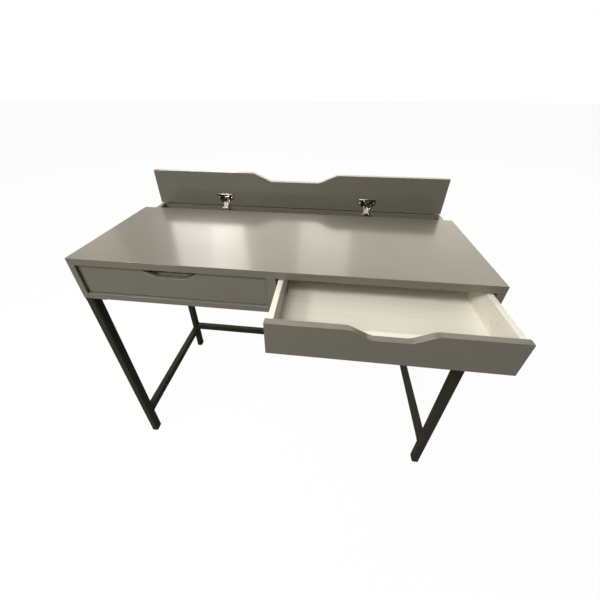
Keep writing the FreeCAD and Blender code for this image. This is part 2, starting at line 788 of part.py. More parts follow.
def cup_pins():
    """The pin across each cup that the link hooks around."""
    rods = [rod(f"cup_pin_{side}", "cup_pin_radius", "2 * cup_pin_half",
                (mirrored(sign, "hinge_x") + " - cup_pin_half", "front_y + cup_pin_y",
                 "cup_pin_z"), "x") for side, sign in SIDES]
    return node(group("hinge_cup_pins", rods), "hinge_cup_pins")


def build_cup(side, sign, screws, pins):
    """Pressed cup with its flange, open toward the trough, and the spring housing inside it."""
    name = f"hinge_cup_{side}"
    x = mirrored(sign, "hinge_x")
    face = f"{LID_FACE} - cup_wall"
    shell = rod(name + "_shell", "cup_radius", "cup_depth + cup_wall", (x, face, CUP_Z), "y")
    rim = rod(name + "_rim", "cup_radius + cup_rim", "cup_wall", (x, face, CUP_Z), "y")
    plate = block(name + "_plate", ("flange_width", "cup_wall", "flange_height"),
                  (f"{x} - flange_width / 2", face, f"{CUP_Z} + flange_top - flange_height"))
    flange = rounded(name + "_flange", plate, "tube_radius", lambda edge: along(edge, 1))
    solid = fuse(name + "_solid", [shell, rim, flange])
    hollow = rod(name + "_hollow", "cup_radius - cup_wall", "cup_depth", (x, face, CUP_Z), "y")
    slot = block(name + "_slot", ("2 * slot_half", "cup_wall + slot_reach",
                                  "slot_top - lid_foot + slot_drop"),
                 (f"{x} - slot_half", face, "lid_foot - slot_drop"))
    pressed = cut(name + "_pressed", solid, [hollow, slot, screws, pins])
    housing = block(name + "_housing", ("2 * housing_half", "housing_depth", "housing_height"),
                    (f"{x} - housing_half", f"{LID_FACE} + cup_depth - cup_wall - housing_depth",
                     "housing_foot"))
    soft = rounded(name + "_housing_edged", housing, "edge_round")
    node(fuse(name, [pressed, soft]), name)


def arm_pins():
    """The pin at the top of each arm that the link turns on."""
    rods = [rod(f"arm_pin_{side}", "pin_radius", "arm_width",
                (mirrored(sign, "hinge_x") + " - arm_width / 2", "front_y + arm_pin_y",
                 "arm_pin_z"), "x") for side, sign in SIDES]
    return node(group("hinge_arm_pins", rods), "hinge_arm_pins")


def mount_screws():
    """Two screws hold each mounting plate to the back panel."""
    screws = []
    for side, sign in SIDES:
        for end, z in (("low", "mount_foot + mount_screw_inset"),
                       ("high", "mount_foot + mount_height - mount_screw_inset")):
            screws.append(screw(f"mount_screw_{side}_{end}",
                                (mirrored(sign, "hinge_x"), f"{BACK_Y} - mount_thickness", z),
                                "y", 1, "mount_screw_length"))
    return node(group("hinge_mount_screws", screws), "hinge_mount_screws")


def build_arm(side, sign, pins, screws):
    """The U-shaped arm and the mounting plate that it sits on."""
    name = f"hinge_arm_{side}"
    x = mirrored(sign, "hinge_x")
    front = f"{BACK_Y} - mount_thickness - arm_depth"
    outer = block(name + "_outer", ("arm_width", "arm_depth", "arm_top - arm_foot"),
                  (f"{x} - arm_width / 2", front, "arm_foot"))
    edged = rounded(name + "_edged", outer, "edge_round",
                    lambda edge: along(edge, 2) or edge.BoundBox.ZMin > size_of("arm_top") - 0.01)
    hollow = block(name + "_hollow", ("arm_width - 2 * arm_wall", "arm_depth",
                                      "arm_top - arm_foot"),
                   (f"{x} - arm_width / 2 + arm_wall", f"{front} + arm_wall", "arm_foot"))
    mouth = block(name + "_mouth", ("arm_width - 2 * arm_wall", "arm_depth",
                                    "arm_top - arm_web_top"),
                  (f"{x} - arm_width / 2 + arm_wall", front, "arm_web_top"))
    node(cut(name, edged, [hollow, mouth, pins]), name)
    plate = block(f"hinge_mount_{side}_plate", ("arm_width", "mount_thickness", "mount_height"),
                  (f"{x} - arm_width / 2", f"{BACK_Y} - mount_thickness", "mount_foot"))
    node(cut(f"hinge_mount_{side}", plate, [screws]), f"hinge_mount_{side}")


def build_link(side, sign):
    """The flat link that leans from the arm's pin toward the cup."""
    name = f"hinge_link_{side}"
    blade = block(name + "_blade", ("link_width", "link_reach", "link_thickness"),
                  ("-link_width / 2", "0", "-link_thickness / 2"))
    hub = rod(name + "_hub", "pin_radius + link_thickness", "link_width",
              ("-link_width / 2", "0", "0"), "x")
    bore = rod(name + "_bore", "pin_radius + pin_clearance", "link_width",
               ("-link_width / 2", "0", "0"), "x")
    link = cut(name, fuse(name + "_solid", [blade, hub]), [bore])
    link.Placement = Placement(Vector(), Rotation(Vector(1, 0, 0), size_of("link_angle")))
    put(link, (mirrored(sign, "hinge_x"), "front_y + arm_pin_y", "arm_pin_z"))
    node(link, name)


def lid_bumpers():
    """Rubber buttons on the side panels, under the shut lid's front corners."""
    rods = [rod(f"bumper_{side}", "bumper_radius", "bumper_height",
                (mirrored(sign, SIDE_MIDDLE), "front_y + bumper_y", "side_rear_top"), "z")
            for side, sign in SIDES]
    return node(group("lid_bumpers", rods), "lid_bumpers")


# ---------------------------------------------------------------- assembly

dowels = case_dowels()
bolts = cam_bolts()
cams = cam_holes()
cam_nuts(cams, bolts)

plate_screws = leg_screws()
leg_plates(plate_screws)
build_legs()
foot_glides()

rail_screws = runner_screws()
runner_rails(rail_screws)
drawer_stops()
for drawer_side, _ in SIDES:
    build_drawer(drawer_side)

flange_screws = cup_screws()
link_pins = cup_pins()
pivot_pins = arm_pins()
back_screws = mount_screws()
build_lid(cup_pockets(), flange_screws)
for hinge_side, hinge_sign in SIDES:
    build_cup(hinge_side, hinge_sign, flange_screws, link_pins)
    build_arm(hinge_side, hinge_sign, pivot_pins, back_screws)
    build_link(hinge_side, hinge_sign)
lid_bumpers()

build_case(dowels, bolts, cams, plate_screws, rail_screws, back_screws)

doc.recompute()
for made in doc.Objects:
    assert not {"Invalid", "Error"} & set(made.State), f"{made.Name}: {made.State}"
for part in nodes:
    assert not part.Shape.isNull() and part.Shape.isValid(), part.Label
os.makedirs("parts", exist_ok=True)
for part in nodes:
    part.Shape.exportStep(f"parts/{part.Label}.step")
print(len(nodes), "sub-parts written")
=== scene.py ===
"""Looks of the writing desk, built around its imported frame. Metres, +Z up, -Y towards the sitter."""
import json
import math

import bmesh
import bpy
from mathutils import Matrix, Vector


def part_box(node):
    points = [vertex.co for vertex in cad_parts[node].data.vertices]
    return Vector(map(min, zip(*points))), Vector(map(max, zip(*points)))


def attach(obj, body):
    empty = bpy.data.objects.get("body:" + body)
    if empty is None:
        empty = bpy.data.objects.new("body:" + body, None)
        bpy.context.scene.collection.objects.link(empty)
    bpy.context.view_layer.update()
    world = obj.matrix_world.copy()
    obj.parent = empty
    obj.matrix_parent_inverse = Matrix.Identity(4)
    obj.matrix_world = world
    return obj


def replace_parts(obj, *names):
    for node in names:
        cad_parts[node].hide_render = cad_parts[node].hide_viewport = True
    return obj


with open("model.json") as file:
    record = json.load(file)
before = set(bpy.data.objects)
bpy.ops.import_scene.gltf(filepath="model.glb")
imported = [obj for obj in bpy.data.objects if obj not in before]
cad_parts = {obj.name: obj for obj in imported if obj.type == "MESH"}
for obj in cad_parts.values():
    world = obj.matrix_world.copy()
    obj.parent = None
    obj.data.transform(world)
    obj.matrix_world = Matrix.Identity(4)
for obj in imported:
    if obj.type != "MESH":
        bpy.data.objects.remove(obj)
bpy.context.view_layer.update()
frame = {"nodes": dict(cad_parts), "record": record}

MM = 0.001


# ---------------------------------------------------------------- node helpers

class Surface:
    """A material under construction: its principled shader and short ways to feed it."""

    def __init__(self, name, color, roughness, metallic=0.0, specular=0.5):
        self.material = bpy.data.materials.new(name)
        self.material.use_nodes = True
        self.tree = self.material.node_tree
        self.shader = self.tree.nodes["Principled BSDF"]
        self.shader.inputs["Base Color"].default_value = (*color, 1)
        self.shader.inputs["Roughness"].default_value = roughness
        self.shader.inputs["Metallic"].default_value = metallic
        self.shader.inputs["Specular IOR Level"].default_value = specular
        self.place = self.add("ShaderNodeTexCoord").outputs["Object"]
        self.height = None

    def add(self, kind, **values):
        node = self.tree.nodes.new(kind)
        for key, value in values.items():
            setattr(node, key, value)
        return node

    def join(self, output, target):
        self.tree.links.new(output, target)

    def stretched(self, stretch):
        """Object coordinates scaled along each axis."""
        mapping = self.add("ShaderNodeMapping")
        mapping.inputs["Scale"].default_value = stretch
        self.join(self.place, mapping.inputs["Vector"])
        return mapping.outputs["Vector"]

    def noise(self, scale, detail=3.0, stretch=(1, 1, 1), twist=0.0):
        texture = self.add("ShaderNodeTexNoise")
        texture.inputs["Scale"].default_value = scale
        texture.inputs["Detail"].default_value = detail
        texture.inputs["Distortion"].default_value = twist
        self.join(self.stretched(stretch), texture.inputs["Vector"])
        return texture.outputs["Fac"]

    def ramp(self, factor, low, high):
        """A number between low and high, as factor crosses the range that noise mostly keeps to."""
        node = self.add("ShaderNodeMapRange")
        node.inputs["From Min"].default_value = 0.3
        node.inputs["From Max"].default_value = 0.7
        node.inputs["To Min"].default_value = low
        node.inputs["To Max"].default_value = high
        self.join(factor, node.inputs["Value"])
        return node.outputs["Result"]

    def tint(self, factor, color, amount=1.0):
        """Lays color over what the base colour already is, where factor is high."""
        mix = self.add("ShaderNodeMix", data_type="RGBA")
        base = self.shader.inputs["Base Color"]
        if base.is_linked:
            self.join(base.links[0].from_socket, mix.inputs["A"])
        else:
            mix.inputs["A"].default_value = base.default_value
        mix.inputs["B"].default_value = (*color, 1)
        self.join(self.ramp(factor, 0.0, amount), mix.inputs["Factor"])
        self.join(mix.outputs["Result"], base)

    def rough(self, factor, low, high):
        self.join(self.ramp(factor, low, high), self.shader.inputs["Roughness"])

    def bump(self, factor, depth, strength):
        """Adds relief of that depth in metres on top of any relief already there."""
        node = self.add("ShaderNodeBump")
        node.inputs["Strength"].default_value = strength
        node.inputs["Distance"].default_value = depth
        self.join(factor, node.inputs["Height"])
        if self.height:
            self.join(self.height, node.inputs["Normal"])
        self.height = node.outputs["Normal"]
        self.join(self.height, self.shader.inputs["Normal"])


# ---------------------------------------------------------------- materials

def grey_lacquer():
    """Sprayed semi-gloss lacquer on board: faint clouds, orange peel and a clear coat."""
    s = Surface("grey_lacquer", (0.132, 0.1245, 0.099), 0.34)
    s.tint(s.noise(2.3, 4), (0.144, 0.1365, 0.109), 0.8)
    s.tint(s.noise(9, 5, twist=0.6), (0.120, 0.1135, 0.090), 0.45)
    s.rough(s.noise(5, 5, (1, 1.6, 1)), 0.30, 0.42)
    s.bump(s.noise(260, 2), 0.00002, 0.35)
    s.bump(s.noise(1400, 1), 0.000008, 0.3)
    s.shader.inputs["Coat Weight"].default_value = 0.8
    s.shader.inputs["Coat Roughness"].default_value = 0.13
    return s.material


def white_board():
    """Warm white foil with a faint lengthwise grain."""
    s = Surface("white_board", (0.78, 0.76, 0.68), 0.45, specular=0.4)
    s.tint(s.noise(6, 5, (0.6, 22, 8), 0.2), (0.66, 0.635, 0.555), 0.6)
    s.tint(s.noise(3.5, 3), (0.82, 0.80, 0.72), 0.5)
    s.rough(s.noise(30, 4, (0.4, 6, 6)), 0.38, 0.52)
    s.bump(s.noise(80, 4, (0.5, 14, 8)), 0.00003, 0.35)
    return s.material


def painted_steel():
    """Textured powder coat on the tubular frame."""
    s = Surface("painted_steel", (0.028, 0.027, 0.018), 0.5, specular=0.1)
    s.tint(s.noise(14, 4), (0.035, 0.034, 0.023), 0.8)
    s.rough(s.noise(40, 4), 0.44, 0.6)
    s.bump(s.noise(900, 3), 0.00004, 0.5)
    s.bump(s.noise(2600, 1), 0.00002, 0.4)
    return s.material


def nickel_steel():
    """Bright nickel plate with handling smudges."""
    s = Surface("nickel_steel", (0.60, 0.56, 0.50), 0.16, metallic=1.0)
    s.tint(s.noise(110, 4), (0.42, 0.38, 0.32), 0.5)
    s.rough(s.noise(300, 4), 0.09, 0.22)
    s.bump(s.noise(1600, 2), 0.00001, 0.3)
    return s.material


def zinc_steel():
    """Blue-white zinc plate, lightly brushed."""
    s = Surface("zinc_steel", (0.62, 0.63, 0.62), 0.32, metallic=1.0)
    s.tint(s.noise(160, 3), (0.50, 0.50, 0.47), 0.6)
    s.rough(s.noise(420, 3), 0.24, 0.44)
    s.bump(s.noise(2200, 2, (1, 8, 1)), 0.00001, 0.4)
    return s.material


def moulded(name, color, other, roughness):
    """Moulded plastic or rubber with a fine eroded texture."""
    s = Surface(name, color, roughness)
    s.tint(s.noise(60, 3), other, 0.6)
    s.rough(s.noise(200, 3), roughness - 0.06, roughness + 0.08)
    s.bump(s.noise(1800, 2), 0.00003, 0.5)
    return s.material


def beech():
    """Pale turned beech with fine flecks."""
    s = Surface("beech", (0.60, 0.42, 0.25), 0.6)
    s.tint(s.noise(500, 3, (0.2, 1, 1)), (0.42, 0.27, 0.15), 0.6)
    s.tint(s.noise(90, 4, (0.1, 1, 1)), (0.68, 0.50, 0.32), 0.5)
    s.bump(s.noise(900, 3, (0.1, 1, 1)), 0.00006, 0.5)
    return s.material


MATERIALS = {
    "grey_lacquer": grey_lacquer(),
    "white_board": white_board(),
    "painted_steel": painted_steel(),
    "nickel_steel": nickel_steel(),
    "zinc_steel": zinc_steel(),
    "white_plastic": moulded("white_plastic", (0.72, 0.72, 0.69), (0.66, 0.65, 0.61), 0.42),
    "black_plastic": moulded("black_plastic", (0.022, 0.022, 0.021), (0.035, 0.034, 0.031), 0.5),
    "grey_rubber": moulded("grey_rubber", (0.14, 0.14, 0.14), (0.19, 0.19, 0.18), 0.7),
    "beech": beech(),
}


def dress(obj, slot):
    """Give obj the material of one slot of the record."""
    obj.data.materials.clear()
    obj.data.materials.append(MATERIALS[slot])


for entry in frame["record"]["subparts"]:
    dress(frame["nodes"][entry["node"]], entry["material_slot"])


# ---------------------------------------------------------------- mesh helpers

def finished(name, bm, slot, body, bevel=0.0, smooth=35):
    """Turn bm into a named piece in that slot's material that rides on the body."""
    bmesh.ops.remove_doubles(bm, verts=bm.verts, dist=1e-7)
    bmesh.ops.recalc_face_normals(bm, faces=bm.faces)
    mesh = bpy.data.meshes.new(name)
    bm.to_mesh(mesh)
    bm.free()
    obj = bpy.data.objects.new(name, mesh)
    bpy.context.scene.collection.objects.link(obj)
    dress(obj, slot)
    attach(obj, body)
    if bevel:
        modifier = obj.modifiers.new("bevel", "BEVEL")
        modifier.width = bevel
        modifier.segments = 2
        modifier.limit_method = "ANGLE"
        modifier.angle_limit = math.radians(50)
    for face in mesh.polygons:
        face.use_smooth = True
    obj.select_set(True)
    bpy.context.view_layer.objects.active = obj
    bpy.ops.object.shade_auto_smooth(angle=math.radians(smooth))
    obj.select_set(False)
    return obj


def slab(bm, outline, low, high, place):
    """Prism over a flat outline in XY, from low to high along Z, then moved by place."""
    bottom = [bm.verts.new(place @ Vector((x, y, low))) for x, y in outline]
    top = [bm.verts.new(place @ Vector((x, y, high))) for x, y in outline]
    bm.faces.new(bottom)
    bm.faces.new(top)
    count = len(outline)
    for index in range(count):
        after = (index + 1) % count
        bm.faces.new((bottom[index], bottom[after], top[after], top[index]))


def turned(bm, profile, place, segments):
    """Surface of revolution about place's Z, from profile points (radius, z) in order."""
    rings = []
    for radius, z in profile:
        if radius < 1e-9:
            rings.append([bm.verts.new(place @ Vector((0, 0, z)))])
            continue
        turns = [2 * math.pi * step / segments for step in range(segments)]
        rings.append([bm.verts.new(place @ Vector((radius * math.cos(a), radius * math.sin(a), z)))
                      for a in turns])
    for low, high in zip(rings, rings[1:]):
        for step in range(segments):
            after = (step + 1) % segments
            corners = [low[step % len(low)], low[after % len(low)],
                       high[after % len(high)], high[step % len(high)]]
            face = list(dict.fromkeys(corners))
            if len(face) > 2:
                bm.faces.new(face)


def tube_along(bm, points, radius, closed=False, sides=10):
    """Round wire through points. radius is a number or one number per point."""
    radii = radius if isinstance(radius, list) else [radius] * len(points)
    count = len(points)
    rings = []
    side = None
    for index, point in enumerate(points):
        before = points[index - 1] if closed or index else point
        after = points[(index + 1) % count] if closed or index < count - 1 else point
        along = (after - before).normalized()
        if side is None:
            side = along.orthogonal().normalized()
        side = (side - along * side.dot(along)).normalized()
        other = along.cross(side)
        angles = [2 * math.pi * step / sides for step in range(sides)]
        rings.append([bm.verts.new(point + radii[index] * (math.cos(a) * side + math.sin(a) * other))
                      for a in angles])
    pairs = list(zip(rings, rings[1:]))
    if closed:
        pairs.append((rings[-1], rings[0]))
    else:
        bm.faces.new(rings[0])
        bm.faces.new(rings[-1])
    for low, high in pairs:
        for step in range(sides):
            after = (step + 1) % sides
            bm.faces.new((low[step], low[after], high[after], high[step]))


def rounded_rectangle(width, height, radius, steps=6):
    """Outline points of a rounded rectangle about the origin."""
    corners = ((1, 1, 0), (-1, 1, 90), (-1, -1, 180), (1, -1, 270))
    points = []
    for sign_x, sign_y, start in corners:
        centre_x = sign_x * (width / 2 - radius)
        centre_y = sign_y * (height / 2 - radius)
        for step in range(steps + 1):
            angle = math.radians(start + 90 * step / steps)
            points.append((centre_x + radius * math.cos(angle),
                           centre_y + radius * math.sin(angle)))
    return points


def clusters(node, axis):
    """Boxes of a CAD node's separate pieces, told apart by where they are across the axis."""
    others = [index for index in range(3) if index != axis]
    found = []
    for vertex in frame["nodes"][node].data.vertices:
        spot = vertex.co
        for low, high in found:
            if all(low[i] - SCREW_SPACING < spot[i] < high[i] + SCREW_SPACING for i in others):
                for i in range(3):
                    low[i] = min(low[i], spot[i])
                    high[i] = max(high[i], spot[i])
                break
        else:
            found.append((spot.copy(), spot.copy()))
    return found


# ---------------------------------------------------------------- fasteners

HEAD_RADIUS = 4 * MM
HEAD_HEIGHT = 2 * MM
SHANK_RADIUS = 2 * MM
RECESS_DEPTH = 1.1 * MM
SCREW_SPACING = 12 * MM  # vertices nearer than this belong to one screw
TWIST_PER_MM = 37  # degrees that a screw is turned further for each millimetre along X


def cross_recess(bm, place, depth, reach, width):
    """A cross-shaped pit with sloping walls, its mouth at z = 0 and its foot below."""
    def ring(scale, z):
        arm, half = reach * scale, width / 2 * scale
        corners = []
        for quarter in range(4):
            turn = Matrix.Rotation(quarter * math.pi / 2, 4, "Z")
            for x, y in ((half, half), (arm, half), (arm, -half)):
                corners.append(bm.verts.new(place @ (turn @ Vector((x, y, z)))))
        return corners

    mouth, foot = ring(1.0, 0), ring(0.7, -depth)
    count = len(mouth)
    for index in range(count):
        after = (index + 1) % count
        bm.faces.new((mouth[index], mouth[after], foot[after], foot[index]))
    bm.faces.new(foot)
    return mouth


def screw(bm, place, length):
    """Pan-head screw with a cross recess: the seat is at z = 0, the shank runs to -length."""
    segments = 36
    flat_radius = HEAD_RADIUS * 0.72
    mouth = cross_recess(bm, place @ Matrix.Translation((0, 0, HEAD_HEIGHT)), RECESS_DEPTH,
                         HEAD_RADIUS * 0.52, HEAD_RADIUS * 0.22)
    profile = [(flat_radius, HEAD_HEIGHT), (HEAD_RADIUS * 0.88, HEAD_HEIGHT * 0.86),
               (HEAD_RADIUS * 0.97, HEAD_HEIGHT * 0.6), (HEAD_RADIUS, HEAD_HEIGHT * 0.2),
               (HEAD_RADIUS * 0.97, 0), (SHANK_RADIUS, 0), (SHANK_RADIUS, -length * 0.85),
               (0.2 * SHANK_RADIUS, -length), (0, -length)]
    turned(bm, profile, place, segments)
    bm.verts.ensure_lookup_table()
    rim = [vertex for vertex in bm.verts if vertex.is_valid and vertex.is_boundary
           and vertex not in mouth and not any(e.is_wire for e in vertex.link_edges)]
    centre = place @ Vector((0, 0, HEAD_HEIGHT))
    rim = [vertex for vertex in rim if (vertex.co - centre).length < flat_radius * 1.05]
    edges = {edge for vertex in rim + mouth for edge in vertex.link_edges if edge.is_boundary}
    bmesh.ops.bridge_loops(bm, edges=list(edges))


AXIS_TURNS = {
    # the screw's own +Z, out of its head, along each direction
    "-y": Matrix.Rotation(math.pi / 2, 4, "X"),
    "+y": Matrix.Rotation(-math.pi / 2, 4, "X"),
    "-z": Matrix.Rotation(math.pi, 4, "X"),
}


def detailed_screws(node, outward, body):
    """Screws with recessed heads, each turned differently, in place of a CAD group's plain ones."""
    axis = "xyz".index(outward[1])
    bm = bmesh.new()
    for low, high in clusters(node, axis):
        spot = (low + high) / 2
        if outward[0] == "-":
            spot[axis] = low[axis] + HEAD_HEIGHT
        else:
            spot[axis] = high[axis] - HEAD_HEIGHT
        length = high[axis] - low[axis] - HEAD_HEIGHT
        twist = Matrix.Rotation(math.radians(TWIST_PER_MM * spot[0] / MM), 4, "Z")
        screw(bm, Matrix.Translation(spot) @ AXIS_TURNS[outward] @ twist, length)
    piece = finished(node + "_detail", bm, "zinc_steel", body, smooth=40)
    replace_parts(piece, node)


detailed_screws("leg_screws", "-z", "desk")
detailed_screws("left_drawer_front_screws", "+y", "left_drawer")
detailed_screws("right_drawer_front_screws", "+y", "right_drawer")
detailed_screws("hinge_cup_screws", "-y", "lid")
detailed_screws("hinge_mount_screws", "-y", "desk")


# ---------------------------------------------------------------- welds

def weld(bm, width, height, radius, place, bead):
    """A rippled fillet bead around a rounded-rectangle tube end lying in place's XY plane."""
    point_gap = 0.7 * MM
    ripple = 0.16
    ripple_turn = 1.9
    outline = rounded_rectangle(width, height, radius, 10)
    points = [Vector((x, y, 0)) for x, y in outline]
    fine = []
    for index, start in enumerate(points):
        end = points[(index + 1) % len(points)]
        steps = max(1, round((end - start).length / point_gap))
        fine += [start.lerp(end, step / steps) for step in range(steps)]
    radii = [bead * (1 + ripple * math.sin(index * ripple_turn)) for index in range(len(fine))]
    tube_along(bm, [place @ point for point in fine], radii, closed=True)


def frame_welds():
    """Beads where the rails meet the legs and where the legs meet their top plates."""
    bm = bmesh.new()
    bead = 1.1 * MM
    corner = 5 * MM
    facing_y = Matrix.Rotation(math.pi / 2, 4, "X")
    facing_x = Matrix.Rotation(math.pi / 2, 4, "Y")
    for side in ("left", "right"):
        low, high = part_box("side_rail_" + side)
        centre = (low + high) / 2
        for y in (low.y, high.y):
            place = Matrix.Translation((centre.x, y, centre.z)) @ facing_y
            weld(bm, high.x - low.x, high.z - low.z, corner, place, bead)
        for end in ("front", "rear"):
            low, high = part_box(f"leg_{end}_{side}")
            centre = (low + high) / 2
            place = Matrix.Translation((centre.x, centre.y, high.z))
            weld(bm, high.x - low.x, high.y - low.y, corner, place, bead)
    low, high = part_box("rear_crossbar")
    centre = (low + high) / 2
    for x in (low.x, high.x):
        place = Matrix.Translation((x, centre.y, centre.z)) @ facing_x
        weld(bm, high.z - low.z, high.y - low.y, corner, place, bead)
    finished("frame_welds", bm, "painted_steel", "desk", smooth=60)


frame_welds()


# ---------------------------------------------------------------- hinges

FACING_Y = Matrix.Rotation(-math.pi / 2, 4, "X")  # a slab's +Z along +Y
CUP_DROP = 18 * MM  # from the top of the flange down to the cup's centre
SHEET = 1 * MM


def cup_bowl(node, out):
    """Pressed round bowl with a rolled rim; the profile is (radius, depth) in millimetres."""
    inner = [(0, 12.4), (15.4, 12.4), (16.9, 11.2), (17.5, 9.6), (17.5, 1.0)]
    rim = [(19, 1.0), (19, 0.35), (18.6, 0), (17.3, 0), (16.75, 0.35)]
    wall = [(16.5, 1.0), (16.4, 9.4), (15.9, 10.7), (14.8, 11.5), (0, 11.5)]
    bm = bmesh.new()
    turned(bm, [(r * MM, depth * MM) for r, depth in inner + rim + wall], out, 64)
    return finished(node + "_bowl", bm, "nickel_steel", "lid", smooth=30)


def cup_flange(node, out):
    """Two mirrored halves of a sheet flange that tapers to wings beside the bowl."""
    hole = 16.9
    hole_start, hole_sweep, hole_steps = -11, 101, 14
    arc = []
    for step in range(hole_steps + 1):
        angle = math.radians(hole_start + hole_sweep * step / hole_steps)
        arc.append((hole * math.cos(angle), hole * math.sin(angle)))
    wing = [(28.5, 14), (28.5, 3.0), (27.6, 0.9), (25.6, -0.4), (20.5, -3.2)]
    top = [(0, 18), (25.5, 18), (27.4, 17.2)]
    bm = bmesh.new()
    for sign in (1, -1):
        outline = [(sign * x * MM, -z * MM) for x, z in arc[::-1] + wing[::-1] + top[::-1]]
        slab(bm, outline, 0, SHEET, out)
    finished(node + "_flange", bm, "nickel_steel", "lid", bevel=0.25 * MM)


def cup_lip(node, low, high):
    """Rolled upper edge of the flange, with rounded-off ends."""
    radius = 1.8 * MM
    cap = 1.2 * MM
    middle = (low.x + high.x) / 2
    reach = (high.x - low.x) / 2 - 2.2 * MM
    bends = ((-reach - cap, 0.6), (-reach, 1), (0, 1), (reach, 1), (reach + cap, 0.6))
    rolled = [Vector((middle + x, low.y - 0.3 * MM, high.z - 1.9 * MM)) for x, _ in bends]
    bm = bmesh.new()
    tube_along(bm, rolled, [radius * share for _, share in bends], sides=20)
    finished(node + "_lip", bm, "nickel_steel", "lid", smooth=50)


def cup_spring(node, middle):
    """Coil spring wound around the cup's cross pin."""
    turns, points_per_turn = 8, 16
    length = 12.8 * MM
    coil_radius = 2.0 * MM
    wire_radius = 0.45 * MM
    pin_low, pin_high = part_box("hinge_cup_pins")
    pin_y = (pin_low.y + pin_high.y) / 2
    pin_z = (pin_low.z + pin_high.z) / 2
    count = turns * points_per_turn
    coil = []
    for step in range(count + 1):
        angle = 2 * math.pi * step / points_per_turn
        coil.append(Vector((middle - length / 2 + length * step / count,
                            pin_y + coil_radius * math.cos(angle),
                            pin_z + coil_radius * math.sin(angle))))
    bm = bmesh.new()
    tube_along(bm, coil, wire_radius, sides=8)
    finished(node + "_spring", bm, "zinc_steel", "lid", smooth=60)


def cup_housing(node, middle, face, centre_z):
    """Rounded spring housing in the bowl, with two ears that carry the pin."""
    bm = bmesh.new()
    block = rounded_rectangle(15 * MM, 10 * MM, 2.2 * MM)
    lifted = Matrix.Translation((middle, face + 5.2 * MM, centre_z - 1.6 * MM))
    slab(bm, block, 0, 6.2 * MM, lifted @ FACING_Y)
    for sign in (-1, 1):
        ear = Matrix.Translation((middle + sign * 5.6 * MM, face + 3.4 * MM, centre_z - 9 * MM))
        slab(bm, rounded_rectangle(1.4 * MM, 12 * MM, 0.6 * MM), 0, 8 * MM, ear @ FACING_Y)
    finished(node + "_housing", bm, "nickel_steel", "lid", bevel=0.4 * MM)


def hinge_cup(side):
    """Cup of one hinge: bowl, flange with its lip, spring and housing."""
    node = "hinge_cup_" + side
    low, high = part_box(node)
    middle = (low.x + high.x) / 2
    centre_z = high.z - CUP_DROP
    out = Matrix.Translation((middle, low.y, centre_z)) @ FACING_Y
    bowl = cup_bowl(node, out)
    cup_flange(node, out)
    cup_lip(node, low, high)
    cup_spring(node, middle)
    cup_housing(node, middle, low.y, centre_z)
    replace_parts(bowl, node)


def arm_channel(node, low, high):
    """U-shaped channel: two round-topped cheeks joined by a flat web, standing on the mount."""
    wall = 1.7 * MM
    crown = 3 * MM
    crown_steps = 8
    shoulder = low.z + 44 * MM
    top = low.z + 50 * MM
    pins_low, pins_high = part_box("hinge_arm_pins")
    pin_y = (pins_low.y + pins_high.y) / 2
    pin_z = (pins_low.z + pins_high.z) / 2
    cheek = [(high.y, low.z), (high.y, shoulder), (high.y - 3.5 * MM, top)]
    for step in range(crown_steps + 1):
        angle = math.radians(10 + 160 * step / crown_steps)
        cheek.append((pin_y + crown * math.cos(angle), pin_z + crown * math.sin(angle)))
    cheek += [(low.y, pin_z - 8 * MM), (low.y, low.z + 3 * MM), (low.y + 3 * MM, low.z)]
    upright = Matrix(((0, 0, 1, 0), (1, 0, 0, 0), (0, 1, 0, 0), (0, 0, 0, 1)))
    bm = bmesh.new()
    for start in (low.x, high.x - wall):
        slab(bm, cheek, 0, wall, Matrix.Translation((start, 0, 0)) @ upright)
    web_low = low.z + 2.4 * MM
    web = rounded_rectangle(high.x - low.x - 0.4 * MM, top - web_low, 1.5 * MM)
    stand = Matrix.Translation(((low.x + high.x) / 2, low.y, (web_low + top) / 2))
    slab(bm, web, 0, wall, stand @ FACING_Y)
    return finished(node + "_channel", bm, "nickel_steel", "desk", bevel=0.45 * MM)


def arm_adjusters(node, low, high):
    """The two adjusting screws in the channel's web, each turned differently."""
    length = 6 * MM
    bm = bmesh.new()
    for rise in (14, 36):
        spot = Matrix.Translation(((low.x + high.x) / 2, low.y, low.z + rise * MM))
        screw(bm, spot @ AXIS_TURNS["-y"] @ Matrix.Rotation(0.4 * rise, 4, "Z"), length)
    finished(node + "_adjusters", bm, "zinc_steel", "desk", smooth=40)


def hinge_arm(side):
    """Arm of one hinge: the channel and its adjusting screws."""
    node = "hinge_arm_" + side
    low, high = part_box(node)
    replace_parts(arm_channel(node, low, high), node)
    arm_adjusters(node, low, high)


def back_edge_painted_shade():
    """Thin black strip along the back panel's top edge, under the open lid: painted shade standing in
    for the shadow in the gap between lid and back panel.
    """
    sunk, thickness = 0.1 * MM, 0.4 * MM
    low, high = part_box("back_panel")
    width = high.x - low.x - 6 * MM
    depth = high.y - low.y - 1.6 * MM
    middle = Matrix.Translation(((low.x + high.x) / 2, (low.y + high.y) / 2, high.z))
    bm = bmesh.new()
    slab(bm, rounded_rectangle(width, depth, 2 * MM), -sunk, thickness, middle)
    # black plastic here is painted shade for the shadowed gap under the lid, not a real seal
    finished("back_edge_painted_shade", bm, "black_plastic", "desk", bevel=0.15 * MM)


for hinge_side in ("left", "right"):
    hinge_cup(hinge_side)
    hinge_arm(hinge_side)
back_edge_painted_shade()


# ---------------------------------------------------------------- studio

